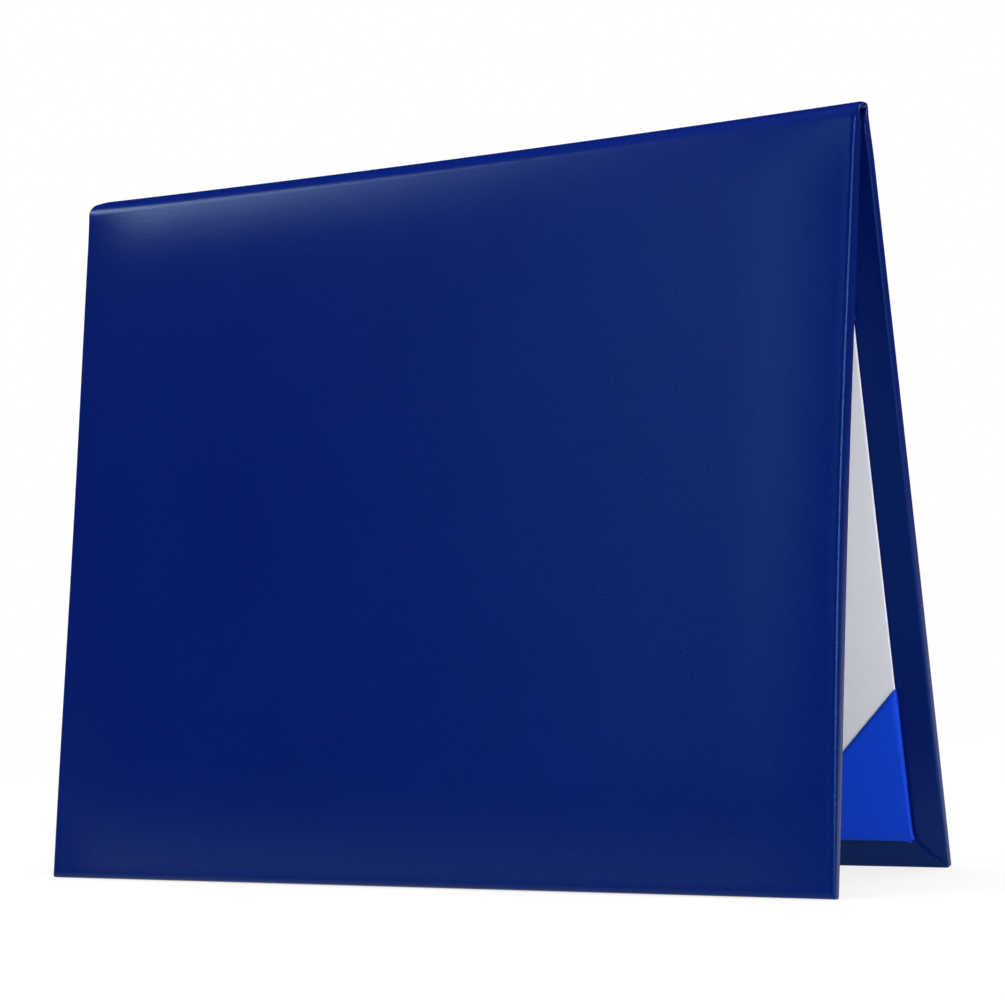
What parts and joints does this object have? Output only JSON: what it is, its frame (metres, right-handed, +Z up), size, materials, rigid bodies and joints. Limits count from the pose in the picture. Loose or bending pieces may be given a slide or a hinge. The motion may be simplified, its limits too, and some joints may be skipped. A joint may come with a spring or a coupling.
{
  "type": "diploma cover",
  "caption": "Padded landscape diploma cover that folds along its top edge, stands open like a tent, and holds a certificate under satin ribbon corners.",
  "frame": {"origin": "on the table, midway between the covers and midway along the fold", "axes": "+X along the fold, +Y from the front cover towards the back cover, +Z up"},
  "size_m": [0.3, 0.0874, 0.238],
  "materials": {
    "leatherette": "smooth royal blue leatherette with a fine pebble grain and a soft sheen",
    "lining": "thin royal blue leatherette strip, flatter and duller than the cover",
    "foam": "soft pale foam sheet, hidden inside the cover",
    "greyboard": "matt grey bookbinding board, hidden inside the cover",
    "liner_paper": "matt white paper over card",
    "satin_ribbon": "bright blue satin ribbon with fine lengthwise threads"
  },
  "bodies": {
    "front_cover": {"front_leatherette": "leatherette", "front_foam_pad": "foam", "front_board": "greyboard", "front_hinge_strip": "lining", "front_liner_panel": "liner_paper"},
    "spine": {"spine_leatherette": "leatherette", "spine_lining": "lining"},
    "back_cover": {"back_leatherette": "leatherette", "back_foam_pad": "foam", "back_board": "greyboard", "back_hinge_strip": "lining", "back_liner_panel": "liner_paper", "ribbon_corner_lower_left": "satin_ribbon", "ribbon_corner_lower_right": "satin_ribbon", "ribbon_corner_upper_left": "satin_ribbon", "ribbon_corner_upper_right": "satin_ribbon"}
  },
  "joints": [
    {"name": "front_fold", "type": "hinge", "parent": "front_cover", "child": "spine", "pos_m": [0, -0.00655, 0.23768], "axis": [1, 0, 0], "range_deg": [-8.9, 81.1]},
    {"name": "back_fold", "type": "hinge", "parent": "spine", "child": "back_cover", "pos_m": [0, 0.00655, 0.23768], "axis": [1, 0, 0], "range_deg": [-8.9, 81.1]}
  ]
}
